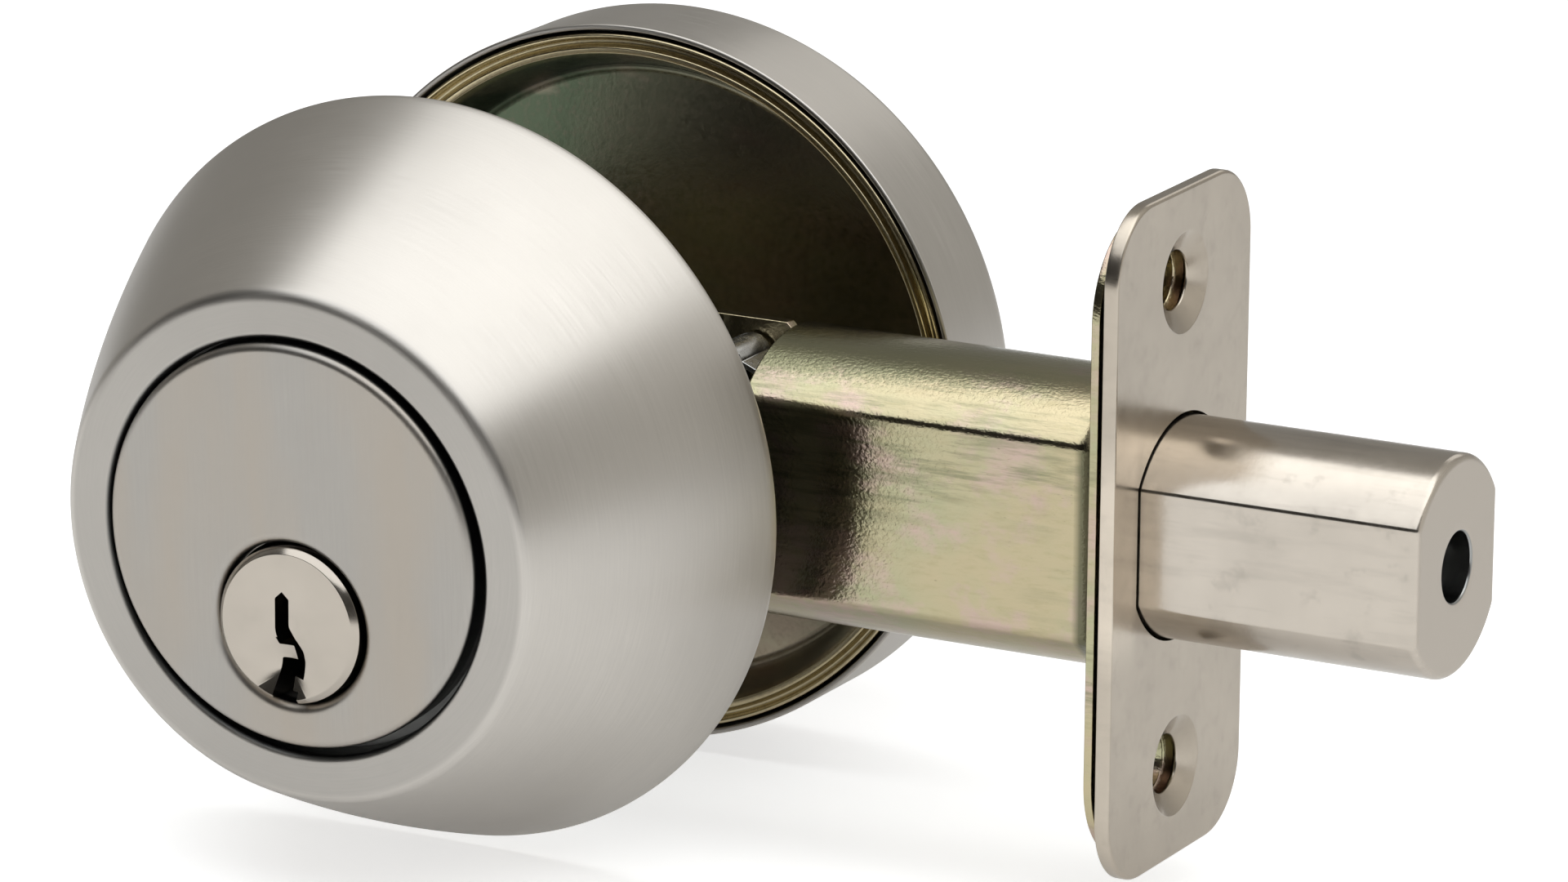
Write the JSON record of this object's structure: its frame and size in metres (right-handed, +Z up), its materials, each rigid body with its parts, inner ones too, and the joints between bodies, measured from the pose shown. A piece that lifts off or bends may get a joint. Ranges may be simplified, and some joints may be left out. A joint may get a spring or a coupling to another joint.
{
  "type": "deadbolt door lock",
  "caption": "Tubular deadbolt with a tapered keyed cylinder, a thumbturn rose, a crank-driven bolt with flats, and an edge faceplate.",
  "frame": {"origin": "where the bolt's centreline crosses the middle of the door's cross bore", "axes": "+X along the bolt toward its tip, +Y from the keyed exterior side to the thumbturn side, +Z up"},
  "size_m": [0.1178, 0.0875, 0.064],
  "materials": {
    "satin_nickel": "fine satin, circular grain",
    "bright_nickel": "bright plated",
    "yellow_zinc": "iridescent yellow zinc plate",
    "steel": "zinc-plated steel",
    "hard_steel": "dark hardened steel",
    "brass": "machined",
    "spring_steel": "bright spring steel",
    "zinc_casting": "as-cast zinc"
  },
  "bodies": {
    "fixed_parts": {"collar": "satin_nickel", "guard_ring": "steel", "cylinder_housing": "satin_nickel", "chamber_cap": "brass", "pin_spring_1": "spring_steel", "pin_spring_2": "spring_steel", "pin_spring_3": "spring_steel", "pin_spring_4": "spring_steel", "pin_spring_5": "spring_steel", "faceplate": "bright_nickel", "backplate": "yellow_zinc", "bolt_housing": "yellow_zinc", "rear_bulkhead": "steel", "case_plate_exterior": "yellow_zinc", "case_plate_interior": "yellow_zinc", "case_spacer_upper": "steel", "case_spacer_lower": "steel", "detent_spring": "spring_steel", "mounting_plate": "yellow_zinc", "rose": "satin_nickel", "thumbturn_washer": "spring_steel", "through_screw_left": "steel", "through_screw_right": "steel"},
    "thumbturn": {"thumbturn": "satin_nickel", "thumbturn_clip": "spring_steel"},
    "tailpiece": {"tailpiece": "steel"},
    "crank": {"crank": "zinc_casting", "crank_pin": "steel"},
    "bolt": {"bolt": "bright_nickel", "anti_saw_pin": "hard_steel", "bolt_tail": "steel", "tail_rivet": "steel"},
    "plug": {"plug": "bright_nickel", "plug_clip": "spring_steel", "tail_cap": "brass"},
    "key_pin_1": {"key_pin_1": "brass"},
    "key_pin_2": {"key_pin_2": "brass"},
    "key_pin_3": {"key_pin_3": "brass"},
    "key_pin_4": {"key_pin_4": "brass"},
    "key_pin_5": {"key_pin_5": "brass"},
    "driver_pin_1": {"driver_pin_1": "brass"},
    "driver_pin_2": {"driver_pin_2": "brass"},
    "driver_pin_3": {"driver_pin_3": "brass"},
    "driver_pin_4": {"driver_pin_4": "brass"},
    "driver_pin_5": {"driver_pin_5": "brass"}
  },
  "joints": [
    {"name": "thumbturn_turn", "type": "hinge", "parent": "fixed_parts", "child": "thumbturn", "pos_m": [0, 0.03, -0.0071], "axis": [0, -1, 0], "range_deg": [0, 90]},
    {"name": "tailpiece_turn", "type": "hinge", "parent": "fixed_parts", "child": "tailpiece", "pos_m": [0, 0, -0.0071], "axis": [0, -1, 0], "range_deg": [0, 90]},
    {"name": "crank_turn", "type": "hinge", "parent": "fixed_parts", "child": "crank", "pos_m": [0, 0, -0.0071], "axis": [0, -1, 0], "range_deg": [0, 90]},
    {"name": "bolt_slide", "type": "slide", "parent": "fixed_parts", "child": "bolt", "axis": [-1, 0, 0], "range_m": [0, 0.0248]},
    {"name": "plug_turn", "type": "hinge", "parent": "fixed_parts", "child": "plug", "pos_m": [0, -0.03, -0.0071], "axis": [0, -1, 0], "range_deg": [-90, 90]},
    {"name": "key_pin_1_drop", "type": "slide", "parent": "plug", "child": "key_pin_1", "axis": [0, 0, 1], "range_m": [-0.00115, 0]},
    {"name": "key_pin_2_drop", "type": "slide", "parent": "plug", "child": "key_pin_2", "axis": [0, 0, 1], "range_m": [-0.00215, 0]},
    {"name": "key_pin_3_drop", "type": "slide", "parent": "plug", "child": "key_pin_3", "axis": [0, 0, 1], "range_m": [-0.00085, 0]},
    {"name": "key_pin_4_drop", "type": "slide", "parent": "plug", "child": "key_pin_4", "axis": [0, 0, 1], "range_m": [-0.00175, 0]},
    {"name": "key_pin_5_drop", "type": "slide", "parent": "plug", "child": "key_pin_5", "axis": [0, 0, 1], "range_m": [-0.00055, 0]},
    {"name": "driver_pin_1_lift", "type": "slide", "parent": "fixed_parts", "child": "driver_pin_1", "axis": [0, 0, 1], "range_m": [0, 0.002], "stiffness_N_per_m": 100, "springref_m": -0.004, "deforming": ["pin_spring_1"]},
    {"name": "driver_pin_2_lift", "type": "slide", "parent": "fixed_parts", "child": "driver_pin_2", "axis": [0, 0, 1], "range_m": [0, 0.002], "stiffness_N_per_m": 100, "springref_m": -0.004, "deforming": ["pin_spring_2"]},
    {"name": "driver_pin_3_lift", "type": "slide", "parent": "fixed_parts", "child": "driver_pin_3", "axis": [0, 0, 1], "range_m": [0, 0.002], "stiffness_N_per_m": 100, "springref_m": -0.004, "deforming": ["pin_spring_3"]},
    {"name": "driver_pin_4_lift", "type": "slide", "parent": "fixed_parts", "child": "driver_pin_4", "axis": [0, 0, 1], "range_m": [0, 0.002], "stiffness_N_per_m": 100, "springref_m": -0.004, "deforming": ["pin_spring_4"]},
    {"name": "driver_pin_5_lift", "type": "slide", "parent": "fixed_parts", "child": "driver_pin_5", "axis": [0, 0, 1], "range_m": [0, 0.002], "stiffness_N_per_m": 100, "springref_m": -0.004, "deforming": ["pin_spring_5"]}
  ],
  "couplings": [
    {"joint": "tailpiece_turn", "follows": "thumbturn_turn", "ratio": 1},
    {"joint": "crank_turn", "follows": "thumbturn_turn", "ratio": 1},
    {"joint": "bolt_slide", "follows": "thumbturn_turn", "m_per_rad": 0.015788}
  ]
}
